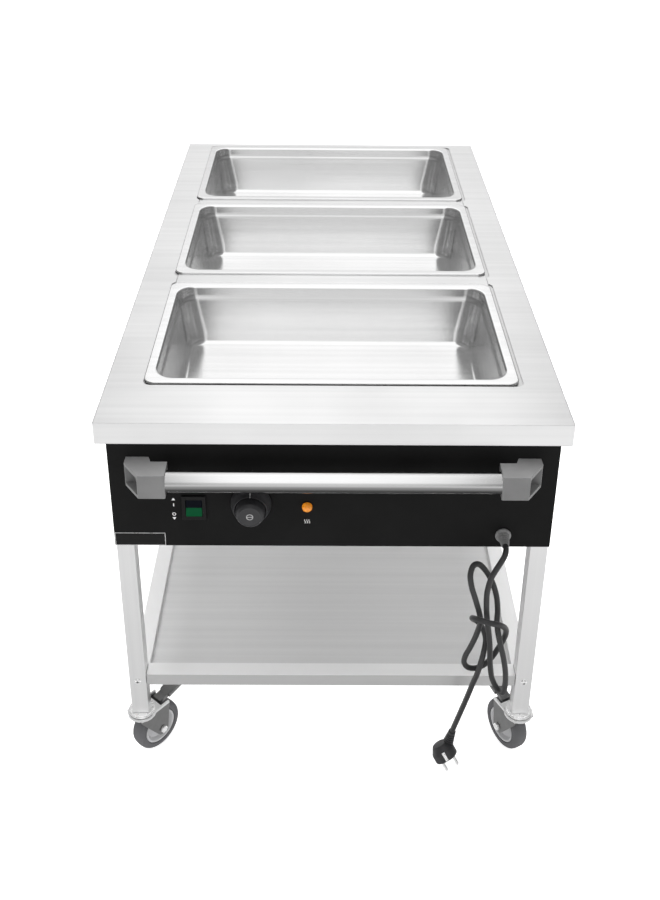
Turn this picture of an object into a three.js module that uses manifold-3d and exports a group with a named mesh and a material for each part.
// Steam table unit: a three-well wet-heat food warmer on a wheeled stand.
// Millimetres. X is right, Y is back, Z is up. The origin is on the floor, under the centre of the unit.
import * as THREE from 'three';
import { mergeVertices } from 'three/addons/utils/BufferGeometryUtils.js';
import Module from 'manifold-3d';

const wasm = await Module();
wasm.setup();

// Driving dimensions
const TOP_W = 640;
const TOP_L = 1165;
const TOP_Z = 618;
const EDGE_H = 34;
const TOP_SHEET = 1.5;
const SHEET = 1.2;
const GAP = 0.3;
const HANDLE_REACH = 44;
const CASTER_REACH = 6.8;
const BODY_W = 609;
const BODY_BOTTOM = 415;
const LEG = 25;
const LEG_WALL = 1.5;
const LEG_BOTTOM = 93;

// The handle stands out in front of the worktop and the rear swivel heads behind it
const FRONT_Y = -(TOP_L - HANDLE_REACH + CASTER_REACH) / 2;
const REAR_Y = FRONT_Y + TOP_L;
const PANEL_Y = FRONT_Y + 1;
const PANEL_TOP = TOP_Z - EDGE_H - GAP;

// Gastronorm 1/1 pans, 100 mm deep, their long side across the unit
const PAN_W = 530;
const PAN_L = 325;
const PAN_DEPTH = 100;
const PAN_SHEET = 1;
const PAN_PITCH = 357.7;
const PAN_LIP = 3;
const CORNER_STEPS = 4;
const PAN_SHIFTS = [-2.3, 4.6, -2.3];
const WELL_W = 536;
const WELL_L = 335;
const NECK_W = 524;
const FIRST_WELL = FRONT_Y + 98;
const WELL_CENTRES = [0, 1, 2].map((i) => FIRST_WELL + WELL_L / 2 + i * PAN_PITCH);

// The water tank under the wells
const LEDGE_Z = TOP_Z - TOP_SHEET - GAP;
const BAR_SHEET = 0.8;
const TANK_INSET = 9;
const TANK_BOTTOM = 468;
const TANK_FLANGE_X = 276;
const TANK_FRONT = FIRST_WELL + TANK_INSET;
const TANK_REAR = WELL_CENTRES[2] + WELL_L / 2 - TANK_INSET;

// Legs
const LEG_X = BODY_W / 2 - SHEET - GAP - LEG / 2;
const LEG_FRONT_Y = PANEL_Y + SHEET + GAP + LEG / 2;
const LEG_REAR_Y = REAR_Y - 1 - SHEET - GAP - LEG / 2;

// Lower shelf
const SHELF_TOP = 168;
const SHELF_H = 20;
const SHELF_RIM = 25;
const SHELF_RECESS = 13;

// Places of the four legs and their casters
const CORNERS = [
  ['front_left', -LEG_X, LEG_FRONT_Y],
  ['front_right', LEG_X, LEG_FRONT_Y],
  ['rear_left', -LEG_X, LEG_REAR_Y],
  ['rear_right', LEG_X, LEG_REAR_Y],
];

// Controls on the front panel
const SWITCH = { x: -191.2, z: 481, w: 33, h: 39 };
const KNOB = { x: -112.5, z: 489.5, ring: 28, radius: 20.6, ringFace: 19.5, face: 33 };
const LAMP = { x: -35.7, z: 483.5, radius: 7.5 };
const GLAND = { x: 237.3, z: 436.4, flange: 11.25, hole: 8 };
const RELIEF = 24;
const CORD_R = 4;
const HANDLE = { z: 544.4, bar: 15, barY: FRONT_Y - 27.5 };

// Inside the body
const ELEMENT = { x: 70, z: 484, radius: 4.25, spread: 62 };
const BULB = { x: -10, z: 500, radius: 4 };
const DRAIN = { x: 150, y: TANK_REAR - 90, radius: 10.5 };
const VALVE_Z = 380;
const VALVE = { front: DRAIN.y + 30, rear: DRAIN.y + 62, bodyRadius: 15 };

// Casters
const WHEEL_R = 40;
const WHEEL_W = 24;
const TRAIL = 24;
const CROWN_Z = 82;
const CROWN = 3.7;
const STEM_TOP = 131;
const CASTER_SIDES = 24;
const AXLE_Z = WHEEL_R * Math.cos(Math.PI / CASTER_SIDES);
const CASTER_HEADINGS = { front_left: -41, front_right: 28, rear_left: 206, rear_right: 154 };

// Colours
const STEEL = { color: 0xd9dadb, roughness: 0.3, metalness: 1 };
const BRIGHT_STEEL = { color: 0xe6e7e8, roughness: 0.18, metalness: 1 };
const BLACK_PAINT = { color: 0x1a1a1b, roughness: 0.5, metalness: 0.1 };
const GREY_PLASTIC = { color: 0x55565a, roughness: 0.55, metalness: 0 };
const BLACK_PLASTIC = { color: 0x18181a, roughness: 0.45, metalness: 0 };
const ZINC = { color: 0xcfd1d2, roughness: 0.3, metalness: 1 };
const DARK_STEEL = { color: 0x4a4b4d, roughness: 0.45, metalness: 0.8 };
const GREY_RUBBER = { color: 0x77787a, roughness: 0.8, metalness: 0 };
const GREY_HUB = { color: 0x9b9c9e, roughness: 0.6, metalness: 0 };
const GREEN = { color: 0x1fae5a, roughness: 0.25, metalness: 0 };
const AMBER = { color: 0xf08a1c, roughness: 0.2, metalness: 0 };
const BRASS = { color: 0xb8913d, roughness: 0.35, metalness: 1 };
const WHITE_PLASTIC = { color: 0xe8e6df, roughness: 0.6, metalness: 0 };
const RED_GRIP = { color: 0xb5322a, roughness: 0.5, metalness: 0 };

const unit = new THREE.Group();

function add(name, geometry, look, parent = unit) {
  const mesh = new THREE.Mesh(geometry, new THREE.MeshStandardMaterial(look));
  mesh.name = name;
  parent.add(mesh);
  return mesh;
}

// Solid modelling helpers

function toManifold(geometry) {
  const bare = geometry.clone();
  bare.deleteAttribute('normal');
  bare.deleteAttribute('uv');
  const merged = mergeVertices(bare, 1e-4);
  const vertProperties = new Float32Array(merged.attributes.position.array);
  const triVerts = new Uint32Array(merged.index.array);
  return new wasm.Manifold(new wasm.Mesh({ numProp: 3, vertProperties, triVerts }));
}

function toGeometry(manifold) {
  const mesh = manifold.getMesh();
  const geometry = new THREE.BufferGeometry();
  geometry.setAttribute('position', new THREE.BufferAttribute(new Float32Array(mesh.vertProperties), 3));
  geometry.setIndex([...mesh.triVerts]);
  geometry.computeVertexNormals();
  return geometry;
}

function join(...pieces) {
  return toGeometry(pieces.map(toManifold).reduce((sum, piece) => sum.add(piece)));
}

function cut(base, ...tools) {
  return toGeometry(tools.map(toManifold).reduce((rest, tool) => rest.subtract(tool), toManifold(base)));
}

function box(x0, x1, y0, y1, z0, z1) {
  const geometry = new THREE.BoxGeometry(x1 - x0, y1 - y0, z1 - z0);
  return geometry.translate((x0 + x1) / 2, (y0 + y1) / 2, (z0 + z1) / 2);
}

// A round bar between two points
function rod(from, to, radius, sides = 24, endRadius = radius) {
  const start = new THREE.Vector3(...from);
  const direction = new THREE.Vector3(...to).sub(start);
  const geometry = new THREE.CylinderGeometry(endRadius, radius, direction.length(), sides);
  geometry.translate(0, direction.length() / 2, 0);
  const turn = new THREE.Quaternion().setFromUnitVectors(new THREE.Vector3(0, 1, 0), direction.normalize());
  return geometry.applyQuaternion(turn).translate(...from);
}

// A turned piece: the profile lists [radius, height] and the axis is +Z
function turned(profile, sides = 24) {
  const points = profile.map(([radius, height]) => new THREE.Vector2(radius, height));
  return new THREE.LatheGeometry(points, sides).rotateX(Math.PI / 2);
}

// A flat outline swept straight: plan outlines rise along Z, side outlines run along X, front ones along -Y
const PLAN = new THREE.Matrix4();
const SIDE = new THREE.Matrix4().makeBasis(
  new THREE.Vector3(0, 1, 0), new THREE.Vector3(0, 0, 1), new THREE.Vector3(1, 0, 0));
const FRONT = new THREE.Matrix4().makeBasis(
  new THREE.Vector3(1, 0, 0), new THREE.Vector3(0, 0, 1), new THREE.Vector3(0, -1, 0));

function swept(outline, start, depth, placing = PLAN) {
  const isShape = outline instanceof THREE.Shape;
  const shape = isShape ? outline : new THREE.Shape(outline.map(([a, b]) => new THREE.Vector2(a, b)));
  const geometry = new THREE.ExtrudeGeometry(shape, { depth, bevelEnabled: false, curveSegments: 6 });
  return geometry.translate(0, 0, start).applyMatrix4(placing);
}

// A rounded rectangle as a loop of points, anticlockwise from above. No steps makes square corners.
function roundedLoop(width, length, radius, z, steps) {
  const points = [];
  for (let corner = 0; corner < 4; corner += 1) {
    const signX = corner === 0 || corner === 3 ? 1 : -1;
    const signY = corner < 2 ? 1 : -1;
    for (let step = 0; step <= steps; step += 1) {
      const angle = (corner + step / Math.max(steps, 1)) * Math.PI / 2;
      const x = signX * (width / 2 - radius) + radius * Math.cos(angle);
      const y = signY * (length / 2 - radius) + radius * Math.sin(angle);
      points.push([x, y, z]);
    }
  }
  return points;
}

// A closed skin through a row of loops, which all have the same number of points
function loft(loops) {
  const count = loops[0].length;
  const index = [];
  const last = (loops.length - 1) * count;
  for (let row = 0; row + 1 < loops.length; row += 1) {
    for (let i = 0; i < count; i += 1) {
      const a = row * count + i;
      const b = row * count + (i + 1) % count;
      index.push(a, b, b + count, a, b + count, a + count);
    }
  }
  for (let i = 1; i + 1 < count; i += 1) {
    index.push(0, i + 1, i);
    index.push(last, last + i, last + i + 1);
  }
  const geometry = new THREE.BufferGeometry();
  geometry.setAttribute('position', new THREE.Float32BufferAttribute(loops.flat(2), 3));
  geometry.setIndex(index);
  geometry.computeVertexNormals();
  return geometry;
}

// A tube of round section along a smooth curve
function tubeAlong(curve, radius, sides, steps) {
  const section = new THREE.Shape();
  for (let i = 0; i < sides; i += 1) {
    const angle = i / sides * 2 * Math.PI;
    const point = [radius * Math.cos(angle), radius * Math.sin(angle)];
    if (i === 0) {
      section.moveTo(...point);
    } else {
      section.lineTo(...point);
    }
  }
  return new THREE.ExtrudeGeometry(section, { extrudePath: curve, steps, bevelEnabled: false });
}

function smooth(points) {
  return new THREE.CatmullRomCurve3(points.map((point) => new THREE.Vector3(...point)), false, 'centripetal');
}

// Worktop: a folded tray with one stepped opening over the three wells
function addWorktop() {
  const skirt = 2 * TOP_SHEET;
  const shell = loft([
    roundedLoop(TOP_W - skirt, TOP_L - skirt, 0, TOP_Z - TOP_SHEET, 0),
    roundedLoop(TOP_W - skirt, TOP_L - skirt, 0, TOP_Z - EDGE_H, 0),
    roundedLoop(TOP_W, TOP_L, 0, TOP_Z - EDGE_H, 0),
    roundedLoop(TOP_W, TOP_L, 0, TOP_Z, 0),
  ]).translate(0, (FRONT_Y + REAR_Y) / 2, 0);
  const wells = WELL_CENTRES.map((centre) => loft([
    roundedLoop(WELL_W, WELL_L, 10, TOP_Z - 5, 4),
    roundedLoop(WELL_W, WELL_L, 10, TOP_Z + 5, 4),
  ]).translate(0, centre, 0));
  const neck = box(-NECK_W / 2, NECK_W / 2, WELL_CENTRES[0], WELL_CENTRES[2], TOP_Z - 4, TOP_Z + 4);
  add('worktop', cut(shell, ...wells, neck), STEEL);
}

// Water tank: one drawn bath with a ledge that carries the pans
function addTank() {
  const width = WELL_W - 2 * TANK_INSET;
  const length = TANK_REAR - TANK_FRONT;
  const centre = (TANK_FRONT + TANK_REAR) / 2;
  const wall = 2 * SHEET;
  const flangeL = length + 2 * 17;
  const tank = loft([
    roundedLoop(width - 20, length - 20, 22, TANK_BOTTOM, 4),
    roundedLoop(width + wall, length + wall, 32, TANK_BOTTOM + 12, 4),
    roundedLoop(width + wall, length + wall, 32, LEDGE_Z - SHEET, 4),
    roundedLoop(2 * TANK_FLANGE_X, flangeL, 10, LEDGE_Z - SHEET, 4),
    roundedLoop(2 * TANK_FLANGE_X, flangeL, 10, LEDGE_Z, 4),
    roundedLoop(width, length, 31, LEDGE_Z, 4),
    roundedLoop(width, length, 31, TANK_BOTTOM + 12 + SHEET, 4),
    roundedLoop(width - 22, length - 22, 21, TANK_BOTTOM + SHEET, 4),
  ]).translate(0, centre, 0);
  const clearance = 0.6;
  const holes = [-1, 1].map((side) => {
    const x = ELEMENT.x + side * ELEMENT.spread / 2;
    const radius = ELEMENT.radius + clearance;
    return rod([x, TANK_FRONT - 8, ELEMENT.z], [x, TANK_FRONT + 8, ELEMENT.z], radius, 16);
  });
  holes.push(rod([BULB.x, TANK_FRONT - 8, BULB.z], [BULB.x, TANK_FRONT + 8, BULB.z],
    BULB.radius + clearance, 16));
  holes.push(rod([DRAIN.x, DRAIN.y, TANK_BOTTOM - 4], [DRAIN.x, DRAIN.y, TANK_BOTTOM + 8],
    DRAIN.radius + GAP, 24));
  add('well_tank', cut(tank, ...holes), STEEL);
}

// Crossbars between the wells: a flanged hat section that the pan rims rest on
function addDividers() {
  const base = 22.5;
  const crown = 9.5;
  const bottom = LEDGE_Z + GAP;
  const profile = [
    [-base, bottom], [base, bottom], [base, bottom + BAR_SHEET], [crown, bottom + BAR_SHEET],
    [crown - 1, TOP_Z], [-crown + 1, TOP_Z], [-crown, bottom + BAR_SHEET], [-base, bottom + BAR_SHEET],
  ];
  ['front', 'rear'].forEach((place, i) => {
    const middle = (WELL_CENTRES[i] + WELL_CENTRES[i + 1]) / 2;
    const length = NECK_W - 2;
    const bar = swept(profile, -length / 2, length, SIDE).translate(0, middle, 0);
    add(`divider_bar_${place}`, bar, STEEL);
  });
}

// Food pans: a drawn steel tray with a turned-down rim and a stacking shoulder
function panGeometry() {
  const inner = [
    [12.5, 0, 30], [14.5, 1.6, 29], [16.5, 17, 29], [20.5, 20, 28],
    [27, 80, 32], [31, 90, 30], [38, 96.5, 26], [46, PAN_DEPTH - PAN_SHEET, 20],
  ];
  const outer = inner.map(([inset, drop, radius]) => (
    [inset - PAN_SHEET, drop + PAN_SHEET, radius + PAN_SHEET])).reverse();
  const lip = [
    [PAN_SHEET, PAN_SHEET, 13], [PAN_SHEET, PAN_LIP, 13], [0, PAN_LIP, 14], [0, 0.8, 14], [0.8, 0, 13.5],
  ];
  const loops = [...outer, ...lip, ...inner].map(([inset, drop, radius]) => (
    roundedLoop(PAN_W - 2 * inset, PAN_L - 2 * inset, radius, -drop, CORNER_STEPS)));
  return loft(loops);
}

const PAN_TOP = LEDGE_Z + GAP + BAR_SHEET + GAP + PAN_LIP;

function addPans() {
  ['front', 'middle', 'rear'].forEach((place, i) => {
    const pan = add(`gn_pan_${place}`, panGeometry(), BRIGHT_STEEL);
    pan.position.set(-2.6, WELL_CENTRES[i] + PAN_SHIFTS[i], PAN_TOP);
  });
}

// Front and rear panels: a face with returns that wrap the legs
function panelOutline(faceY, towards) {
  const half = BODY_W / 2;
  const back = faceY + towards * (LEG + 2.5);
  const inside = faceY + towards * SHEET;
  const points = [
    [-half, faceY], [half, faceY], [half, back], [half - SHEET, back],
    [half - SHEET, inside], [-half + SHEET, inside], [-half + SHEET, back], [-half, back],
  ];
  return towards > 0 ? points : points.reverse();
}

function addPanels() {
  const height = PANEL_TOP - BODY_BOTTOM;
  const holeDepth = 6;
  const drill = (x, z, radius) => (
    rod([x, PANEL_Y - holeDepth, z], [x, PANEL_Y + holeDepth, z], radius, 24));
  const slot = box(SWITCH.x - 13.5, SWITCH.x + 13.5, PANEL_Y - holeDepth, PANEL_Y + holeDepth,
    SWITCH.z - 15, SWITCH.z + 15);
  const front = cut(swept(panelOutline(PANEL_Y, 1), BODY_BOTTOM, height), slot,
    drill(KNOB.x, KNOB.z, 5.5), drill(LAMP.x, LAMP.z, 5.5), drill(GLAND.x, GLAND.z, GLAND.hole));
  add('front_panel', front, BLACK_PAINT);
  add('rear_panel', swept(panelOutline(REAR_Y - 1, -1), BODY_BOTTOM, height), STEEL);

  const sideStart = PANEL_Y + LEG + 2.5 + GAP;
  const sideEnd = REAR_Y - 1 - LEG - 2.5 - GAP;
  const half = BODY_W / 2;
  const fold = 14;
  const section = [
    [half - fold, BODY_BOTTOM], [half, BODY_BOTTOM], [half, PANEL_TOP], [half - SHEET, PANEL_TOP],
    [half - SHEET, BODY_BOTTOM + SHEET], [half - fold, BODY_BOTTOM + SHEET],
  ];
  const mirrored = section.map(([x, z]) => [-x, z]).reverse();
  add('side_panel_right', swept(section, -sideEnd, sideEnd - sideStart, FRONT), STEEL);
  add('side_panel_left', swept(mirrored, -sideEnd, sideEnd - sideStart, FRONT), STEEL);
}

// Bottom cover: a plate with a notch for each leg and holes for the drain and for air
function addBottomCover() {
  const x = BODY_W / 2 - SHEET - GAP;
  const y0 = PANEL_Y + SHEET + GAP;
  const y1 = REAR_Y - 1 - SHEET - GAP;
  const notch = LEG + GAP;
  const outline = [
    [-x + notch, y0], [x - notch, y0], [x - notch, y0 + notch], [x, y0 + notch],
    [x, y1 - notch], [x - notch, y1 - notch], [x - notch, y1], [-x + notch, y1],
    [-x + notch, y1 - notch], [-x, y1 - notch], [-x, y0 + notch], [-x + notch, y0 + notch],
  ];
  const z = BODY_BOTTOM + SHEET + GAP;
  const plate = swept(outline, z, SHEET);
  const holes = [rod([DRAIN.x, DRAIN.y, z - 5], [DRAIN.x, DRAIN.y, z + 5], DRAIN.radius + 2, 24)];
  const vents = 6;
  for (let i = 0; i < vents; i += 1) {
    const ventX = (i - (vents - 1) / 2) * 22;
    holes.push(box(ventX - 4, ventX + 4, y0 + 30, y0 + 70, z - 5, z + 5));
  }
  add('bottom_cover', cut(plate, ...holes), STEEL);
}

// Legs: square tubes from the worktop down to the casters
function addLegs() {
  const half = LEG / 2;
  const inner = half - LEG_WALL;
  const shape = new THREE.Shape([[-half, -half], [half, -half], [half, half], [-half, half]]
    .map(([x, y]) => new THREE.Vector2(x, y)));
  shape.holes.push(new THREE.Path([[-inner, -inner], [-inner, inner], [inner, inner], [inner, -inner]]
    .map(([x, y]) => new THREE.Vector2(x, y))));
  const height = TOP_Z - TOP_SHEET - GAP - LEG_BOTTOM;
  for (const [place, x, y] of CORNERS) {
    const leg = add(`leg_${place}`, swept(shape, 0, height), STEEL);
    leg.position.set(x, y, LEG_BOTTOM);
  }
}

// Lower shelf: a tray with a raised channel rim, notched round the legs
function addShelf() {
  const x = BODY_W / 2 - 4.5;
  const y0 = PANEL_Y + 4;
  const y1 = REAR_Y - 5;
  const bottom = SHELF_TOP - SHELF_H;
  const floor = SHELF_TOP - SHELF_RECESS;
  const block = box(-x, x, y0, y1, bottom, SHELF_TOP);
  const recess = box(-x + SHELF_RIM, x - SHELF_RIM, y0 + SHELF_RIM, y1 - SHELF_RIM, floor, SHELF_TOP + 5);
  const under = box(-x + SHELF_RIM - SHEET, x - SHELF_RIM + SHEET, y0 + SHELF_RIM - SHEET,
    y1 - SHELF_RIM + SHEET, bottom - 5, floor - SHEET);
  const channelIn = SHELF_RIM - SHEET;
  const channels = [
    box(-x + LEG + 8, x - LEG - 8, y0 + SHEET, y0 + channelIn, bottom - 5, SHELF_TOP - SHEET),
    box(-x + LEG + 8, x - LEG - 8, y1 - channelIn, y1 - SHEET, bottom - 5, SHELF_TOP - SHEET),
    box(-x + SHEET, -x + channelIn, y0 + LEG + 8, y1 - LEG - 8, bottom - 5, SHELF_TOP - SHEET),
    box(x - channelIn, x - SHEET, y0 + LEG + 8, y1 - LEG - 8, bottom - 5, SHELF_TOP - SHEET),
  ];
  const notches = CORNERS.map(([, legX, legY]) => {
    const reach = LEG / 2 + GAP;
    return box(legX - reach, legX + reach, legY - reach, legY + reach, bottom - 10, SHELF_TOP + 10);
  });
  const corners = CORNERS.map(([, legX, legY]) => {
    const outX = Math.sign(legX);
    const outY = Math.sign(legY);
    const a = [legX, legX + outX * LEG].sort((p, q) => p - q);
    const b = [legY, legY + outY * LEG].sort((p, q) => p - q);
    return box(a[0], a[1], b[0], b[1], bottom - 10, SHELF_TOP + 10);
  });
  add('lower_shelf', cut(block, recess, under, ...channels, ...notches, ...corners), STEEL);
}

// Handle: a steel bar held at each end by a hollow moulded bracket
function addHandle() {
  const { z, bar, barY } = HANDLE;
  const front = FRONT_Y - HANDLE_REACH;
  const foot = PANEL_Y - GAP;
  const height = 36;
  const lift = 1.8;
  const bottom = z + lift - height / 2;
  const footOuter = 279.2;
  const faceOuter = 257.7;
  const chamfer = 30;
  const armEnd = 222;
  const armBack = barY + bar + 2;
  const footInner = 248.4;
  const barHalf = 236;
  const plate = 4.7;
  const rounding = 1.5;
  const outline = [
    [footInner, foot], [footInner - 4, armBack], [armEnd, armBack], [armEnd, front + rounding],
    [armEnd + rounding, front], [faceOuter, front], [footOuter, front + chamfer], [footOuter, foot],
  ];
  // The window takes all of the chamfered face but a thin edge at each end
  const window = [
    [faceOuter - 8, front + 12], [faceOuter + 0.8, front + 1.1], [faceOuter + 5, front - 2],
    [footOuter + 3.3, front + chamfer - 4], [footOuter - 0.8, front + chamfer - 1.1],
    [footOuter - 12, front + chamfer + 4],
  ];
  const pocket = rod([armEnd - 5, barY, z], [barHalf + 1, barY, z], bar + GAP, 24);
  for (const [place, side] of [['left', -1], ['right', 1]]) {
    const mirror = (points) => (side > 0 ? points : points.map(([a, b]) => [-a, b]).reverse());
    const block = swept(mirror(outline), bottom, height);
    const opening = swept(mirror(window), bottom + plate, height - 2 * plate);
    const hole = pocket.clone();
    if (side < 0) {
      hole.rotateZ(Math.PI).translate(0, 2 * barY, 0);
    }
    add(`handle_bracket_${place}`, cut(block, opening, hole), GREY_PLASTIC);
  }
  add('handle_bar', rod([-barHalf, barY, z], [barHalf, barY, z], bar, 24), BRIGHT_STEEL);
}

// Mains switch: a snap-in frame with a well, and a rocker that tips on a pin in it
const ROCKER_TILT = THREE.MathUtils.degToRad(8);

function addSwitch() {
  const { x, z, w, h } = SWITCH;
  const face = PANEL_Y - 3;
  const flange = box(x - w / 2, x + w / 2, face, PANEL_Y - GAP, z - h / 2, z + h / 2);
  const body = box(x - 13, x + 13, PANEL_Y - GAP - 0.5, PANEL_Y + 24, z - 14.5, z + 14.5);
  const well = box(x - 11.5, x + 11.5, face - 5, PANEL_Y + 14, z - 13.5, z + 13.5);
  const terminals = [-8, 0, 8].map((dz) => (
    box(x - 3.2, x + 3.2, PANEL_Y + 23, PANEL_Y + 33, z + dz - 0.5, z + dz + 0.5)));
  add('switch_frame', cut(join(flange, body, ...terminals), well), BLACK_PLASTIC);

  const outline = [
    [2, -12.6], [8, -4], [8, 4], [2, 12.6], [-3.4, 12.6], [-1.6, 0], [-3.4, -12.6],
  ];
  const rocker = add('switch_rocker', swept(outline, -11, 22, SIDE), GREEN);
  rocker.rotation.x = -ROCKER_TILT;
  rocker.position.set(x, PANEL_Y, z);
}

// Thermostat: body behind the panel, fixed ring, and the knob on the spindle
function addThermostat() {
  const { x, z, ring, radius, ringFace, face } = KNOB;
  const body = box(x - 22, x + 22, PANEL_Y + SHEET + GAP, PANEL_Y + 36, z - 20, z + 20);
  const spindle = rod([x, PANEL_Y + 10, z], [x, PANEL_Y - 16, z], 3, 16);
  const stub = rod([x, PANEL_Y + 35, z - 8], [x, PANEL_Y + 41, z - 8], 4, 16);
  add('thermostat_body', join(body, spindle, stub), ZINC);

  const bore = radius + 0.7;
  const ringProfile = [[radius - 6, 0], [ring, 0], [ring, 4], [ring - 1.2, 9], [bore + 1.5, ringFace - 1],
    [bore + 0.7, ringFace], [bore, ringFace - 0.5], [bore, 2], [radius - 6, 2], [radius - 6, 0]];
  const bezel = add('knob_bezel', turned(ringProfile, 32), BLACK_PLASTIC);
  bezel.rotation.x = Math.PI / 2;
  bezel.position.set(x, PANEL_Y - GAP, z);

  const knobProfile = [[0, 17], [3.3, 17], [3.3, 3], [radius - 2, 3], [radius, 5.5], [radius, ringFace],
    [radius - 1.6, face - 4], [radius - 5.4, face], [0, face]];
  const knob = add('thermostat_knob', turned(knobProfile, 28), BLACK_PLASTIC);
  knob.rotation.x = Math.PI / 2;
  knob.position.set(x, PANEL_Y - GAP, z);
}

// Pilot lamp: a domed lens on a barrel that passes through the panel
function addLamp() {
  const { x, z, radius } = LAMP;
  const profile = [[0, -18], [4.8, -18], [4.8, GAP], [radius, GAP], [radius, 2.5], [radius - 0.8, 5],
    [radius - 2.8, 7.3], [radius - 5, 8.4], [0, 8.8]];
  const lamp = add('pilot_lamp', turned(profile, 18), AMBER);
  lamp.rotation.x = Math.PI / 2;
  lamp.position.set(x, PANEL_Y, z);
}

// Wet heat: a hairpin element in the tank, and the thermostat's bulb beside it
function addHeating() {
  const { x, z, radius, spread } = ELEMENT;
  const start = TANK_FRONT - 45;
  const end = TANK_REAR - 70;
  const half = spread / 2;
  const path = new THREE.CurvePath();
  const bend = [];
  for (let i = 0; i <= 8; i += 1) {
    const angle = i / 8 * Math.PI;
    bend.push([x - half * Math.cos(angle), end + half * Math.sin(angle), z]);
  }
  path.add(new THREE.LineCurve3(new THREE.Vector3(x - half, start, z), new THREE.Vector3(...bend[0])));
  path.add(smooth(bend));
  path.add(new THREE.LineCurve3(new THREE.Vector3(...bend[8]), new THREE.Vector3(x + half, start, z)));
  add('heating_element', tubeAlong(path, radius, 8, 48), DARK_STEEL);

  const { x: bulbX, z: bulbZ, radius: bulb } = BULB;
  const bulbProfile = [
    [0, 0], [bulb, 0], [bulb, 30], [bulb - 1, 31], [bulb - 1, 130], [bulb - 2, 133], [0, 133],
  ];
  const pocket = add('thermostat_bulb', turned(bulbProfile, 16), BRASS);
  pocket.rotation.x = -Math.PI / 2;
  pocket.position.set(bulbX, TANK_FRONT - 20, bulbZ);
  const capillary = smooth([
    [KNOB.x, PANEL_Y + 41.4, KNOB.z - 8], [KNOB.x, PANEL_Y + 50, KNOB.z - 8],
    [KNOB.x + 14, PANEL_Y + 62, KNOB.z + 4], [KNOB.x + 48, PANEL_Y + 68, KNOB.z + 18],
    [bulbX - 14, TANK_FRONT - 38, bulbZ + 6], [bulbX, TANK_FRONT - 28, bulbZ],
    [bulbX, TANK_FRONT - 20.4, bulbZ],
  ]);
  add('capillary_tube', tubeAlong(capillary, 1.2, 6, 18), BRASS);

  const block = box(40, 106, PANEL_Y + 14, PANEL_Y + 34, BODY_BOTTOM + 8, BODY_BOTTOM + 28);
  const ways = [52, 73, 94].map((wayX) => (
    rod([wayX, PANEL_Y + 24, BODY_BOTTOM + 20], [wayX, PANEL_Y + 24, BODY_BOTTOM + 34], 3.5, 12)));
  add('terminal_block', cut(block, ...ways), WHITE_PLASTIC);
}

// Drain: an elbow from the tank floor to a ball valve with a quarter-turn lever
function addDrain() {
  const { x, y, radius } = DRAIN;
  const bore = radius - 3;
  const pivotY = (VALVE.front + VALVE.rear) / 2;
  const topFace = TANK_BOTTOM + SHEET + 1;
  const down = rod([x, y, topFace], [x, y, VALVE_Z - 8], radius, 24);
  const back = rod([x, y, VALVE_Z], [x, VALVE.front - GAP, VALVE_Z], radius, 24);
  const elbow = rod([x, y - 13, VALVE_Z], [x, y + 13, VALVE_Z], radius + 2, 24);
  const nut = rod([x, y, TANK_BOTTOM - GAP], [x, y, TANK_BOTTOM - 8], radius + 6, 6);
  const inside = rod([x, y, topFace + 1], [x, y, VALVE_Z + 3], bore, 16);
  const bend = rod([x, y - 4, VALVE_Z], [x, VALVE.front + 1, VALVE_Z], bore, 16);
  add('drain_pipe', cut(join(down, back, elbow, nut), inside, bend), STEEL);

  const hubBottom = VALVE_Z - 22;
  const body = rod([x, VALVE.front, VALVE_Z], [x, VALVE.rear, VALVE_Z], VALVE.bodyRadius, 8);
  const hub = rod([x, pivotY, VALVE_Z - 10], [x, pivotY, hubBottom], 6, 16);
  const outlet = rod([x, VALVE.rear - 2, VALVE_Z], [x, VALVE.rear + 14, VALVE_Z], 11, 24);
  const passage = rod([x, VALVE.front - 5, VALVE_Z], [x, VALVE.rear + 18, VALVE_Z], bore, 16);
  add('drain_valve', cut(join(body, hub, outlet), passage), BRASS);

  const thick = 4;
  const top = hubBottom - GAP;
  const grip = [[-8, -9.6], [-66, -8], [-70, -8], [-70, 11.2], [-66, 14.4], [-8, 9.6]];
  const outline = grip.map(([a, b]) => [x + a, pivotY + b]);
  const disc = rod([x, pivotY, top - thick], [x, pivotY, top], 11, 24);
  add('drain_lever', join(swept(outline, top - thick, thick), disc), RED_GRIP);
}

// Cable gland: a nut, a flange on the panel and a tapered strain relief
function addGland() {
  const { x, z, flange, hole } = GLAND;
  const nut = -SHEET - GAP - 2;
  const profile = [
    [0, -12], [flange, -12], [flange, nut], [hole - GAP, nut], [hole - GAP, GAP], [flange, GAP],
    [flange, 3.5], [8.5, 5], [8.2, 13], [CORD_R + 1.5, RELIEF], [0, RELIEF],
  ];
  const gland = add('cable_gland', turned(profile, 24), BLACK_PLASTIC);
  gland.rotation.x = Math.PI / 2;
  gland.position.set(x, PANEL_Y, z);
}

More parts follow.
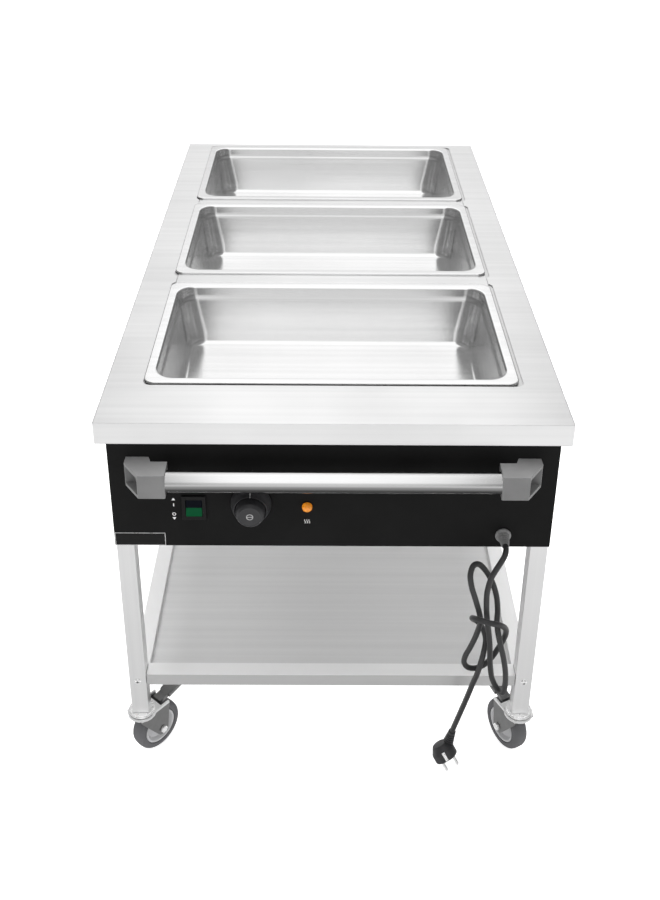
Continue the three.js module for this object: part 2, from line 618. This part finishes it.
// Mains lead: from the gland into a hank that its own last turn ties, then down to the plug.
// Points are [x, distance in front of the worktop's edge, z].
const LEAD = [
  [237.3, 23.3, 436.4], [237, 31, 436], [234.5, 39, 432.5], [228.5, 45.5, 425.5], [221.5, 50, 415.5],
  [215.5, 53, 403],
];
const TAIL = [
  [217.5, 40, 259], [213.5, 43.5, 239], [210, 42.5, 218], [206, 39, 198], [201, 31.5, 164], [196, 23.5, 131],
  [191.5, 16, 101], [188, 11.5, 80], [186.5, 9.8, 70],
];
const HANK = {
  outline: [
    [181.5, 402], [183, 417], [190, 425], [203, 424], [217, 411], [227, 393], [233, 369], [236, 345],
    [241, 330], [248.5, 310], [250, 290], [251.5, 262], [252, 225], [251, 204], [244, 195.5], [234, 197],
    [226, 209], [211, 212], [196, 214], [187, 226], [187.5, 250], [194, 272], [200, 300], [192, 318],
    [189, 345], [190.5, 372],
  ],
  centre: [216, 312],
  depth: 57,
  middle: 53.5,
  tie: { x: 216, z: 336, radius: 28, half: 9 },
};

function inFront([x, distance, z]) {
  return [x, FRONT_Y - distance, z];
}

function hankGeometry(margin) {
  const { outline, centre, depth, middle, tie } = HANK;
  const grown = outline.map(([x, z]) => [
    x + Math.sign(x - centre[0]) * margin, z + Math.sign(z - centre[1]) * margin]);
  const slab = swept(grown.reverse(), middle - depth / 2 - margin - FRONT_Y, depth + 2 * margin, FRONT);
  const collar = rod([tie.x, FRONT_Y - middle, tie.z - tie.half - margin],
    [tie.x, FRONT_Y - middle, tie.z + tie.half + margin], tie.radius + margin, 20);
  return join(slab, collar);
}

function addCord() {
  const sides = 8;
  const around = hankGeometry(GAP);
  add('cord_hank', hankGeometry(0), BLACK_PLASTIC);
  add('cord_lead', cut(tubeAlong(smooth(LEAD.map(inFront)), CORD_R, sides, 12), around), BLACK_PLASTIC);
  add('cord_tail', cut(tubeAlong(smooth(TAIL.map(inFront)), CORD_R, sides, 20), around), BLACK_PLASTIC);
}

// Plug: a round two-pin mains plug with an angled neck, leaning on the tip of one pin
const PLUG_FACE = [180, 15.4, 21];
const NECK = 36;
const PIN_DIRECTION = new THREE.Vector3(0.5, -0.375, -0.774).normalize();
const PIN_ROW = new THREE.Vector3(0.86, 0.218, 0.45).normalize();

function addPlug() {
  const face = new THREE.Vector3(...inFront(PLUG_FACE));
  const at = (back, across = 0) => (
    face.clone().addScaledVector(PIN_DIRECTION, -back).addScaledVector(PIN_ROW, across).toArray());
  const pins = [-9.5, 9.5].map((across) => rod(at(2, across), at(-19, across), 2.4, 12));
  const cordEnd = new THREE.Vector3(...inFront(TAIL.at(-1)));
  const away = cordEnd.clone().sub(new THREE.Vector3(...inFront(TAIL.at(-2)))).normalize();
  const neckTip = cordEnd.clone().addScaledVector(away, GAP).toArray();
  const neckRoot = cordEnd.clone().addScaledVector(away, NECK).toArray();
  const plug = join(rod(at(0), at(12), 18.5, 24), rod(at(11.9), at(24), 18.4, 24, 11),
    rod(neckRoot, neckTip, 9, 16, 5.5), ...pins);
  add('plug', plug, BLACK_PLASTIC);
}

// Casters: swivel stem, fork, tyre, hub and axle, with a brake pedal on the front pair
function stemGeometry() {
  const seat = CROWN_Z + CROWN + GAP;
  return turned([
    [0, CROWN_Z - 3.2], [8.5, CROWN_Z - 3.2], [8.5, CROWN_Z - 0.4], [5, CROWN_Z - 0.4], [5, seat],
    [20, seat], [20, seat + 3], [17, seat + 3], [17, seat + 3.8], [19, seat + 3.8],
    [19, LEG_BOTTOM - GAP], [10.3, LEG_BOTTOM - GAP], [10.3, STEM_TOP], [0, STEM_TOP],
  ], 16);
}

function forkGeometry() {
  const top = CROWN_Z + CROWN;
  const outline = [
    [-15, top], [-15, CROWN_Z - 4], [TRAIL - 10.5, AXLE_Z - 4], [TRAIL - 6, AXLE_Z - 9.5],
    [TRAIL, AXLE_Z - 11], [TRAIL + 6, AXLE_Z - 9.5], [TRAIL + 10.5, AXLE_Z - 4],
    [TRAIL + 14, 66], [TRAIL + 16, CROWN_Z - 2], [TRAIL + 16, top],
  ];
  const arms = [-17.5, 14.5].map((x) => swept(outline, x, 3, SIDE));
  const head = rod([0, 0, CROWN_Z], [0, 0, top], 22, 20);
  const crown = box(-17.4, 17.4, -15, TRAIL + 1, CROWN_Z, top);
  const bore = rod([0, 0, CROWN_Z - 5], [0, 0, top + 5], 5.4, 12);
  const eyes = rod([-30, TRAIL, AXLE_Z], [30, TRAIL, AXLE_Z], 4.4, 12);
  return cut(join(head, crown, ...arms), bore, eyes);
}

function tyreGeometry() {
  const half = WHEEL_W / 2;
  const bore = 28.3;
  return turned([
    [bore, -half], [36.5, -half], [39.3, -half + 2.5], [WHEEL_R, -half + 7], [WHEEL_R, half - 7],
    [39.3, half - 2.5], [36.5, half], [bore, half], [bore, -half],
  ], CASTER_SIDES).rotateZ(Math.PI / CASTER_SIDES);
}

function hubGeometry() {
  return turned([
    [4.3, -13], [9, -13], [9, -9], [22, -6], [24.5, -11.5], [28, -11.5], [28, 11.5], [24.5, 11.5], [22, 6],
    [9, 9], [9, 13], [4.3, 13], [4.3, -13],
  ], 16);
}

function axleGeometry() {
  return turned([
    [0, -22], [6.5, -22], [6.5, -17.8], [4, -17.8], [4, 17.8], [6.5, 17.8], [6.5, 22], [0, 22],
  ], 12);
}

function pedalGeometry() {
  const lever = [
    [TRAIL + 4, 81.6], [TRAIL + 11, 80.2], [TRAIL + 54, 91], [TRAIL + 58, 95.5], [TRAIL + 54, 96.5],
    [TRAIL + 15, 87.5], [TRAIL + 5, 86.5],
  ];
  const toe = [
    [TRAIL + 22, 83.5], [TRAIL + 54, 91], [TRAIL + 58, 95.5], [TRAIL + 54, 96.5], [TRAIL + 22, 88.5],
  ];
  return join(swept(lever, -13.5, 27, SIDE), swept(toe, -18, 36, SIDE));
}

function addCasters() {
  for (const [place, x, y] of CORNERS) {
    const caster = new THREE.Group();
    caster.position.set(x, y, 0);
    caster.rotation.z = THREE.MathUtils.degToRad(CASTER_HEADINGS[place]);
    unit.add(caster);
    add(`caster_stem_${place}`, stemGeometry(), ZINC, caster);
    add(`caster_fork_${place}`, forkGeometry(), DARK_STEEL, caster);
    const wheel = new THREE.Group();
    wheel.position.set(0, TRAIL, AXLE_Z);
    wheel.rotation.set(0, Math.PI / 2, 0);
    caster.add(wheel);
    add(`caster_tyre_${place}`, tyreGeometry(), GREY_RUBBER, wheel);
    add(`caster_hub_${place}`, hubGeometry(), GREY_HUB, wheel);
    add(`caster_axle_${place}`, axleGeometry(), ZINC, wheel);
    if (place.startsWith('front')) {
      add(`brake_pedal_${place}`, pedalGeometry(), DARK_STEEL, caster);
    }
  }
}

addWorktop();
addTank();
addDividers();
addPans();
addPanels();
addBottomCover();
addLegs();
addShelf();
addHandle();
addSwitch();
addThermostat();
addLamp();
addHeating();
addDrain();
addGland();
addCord();
addPlug();
addCasters();

export default unit;
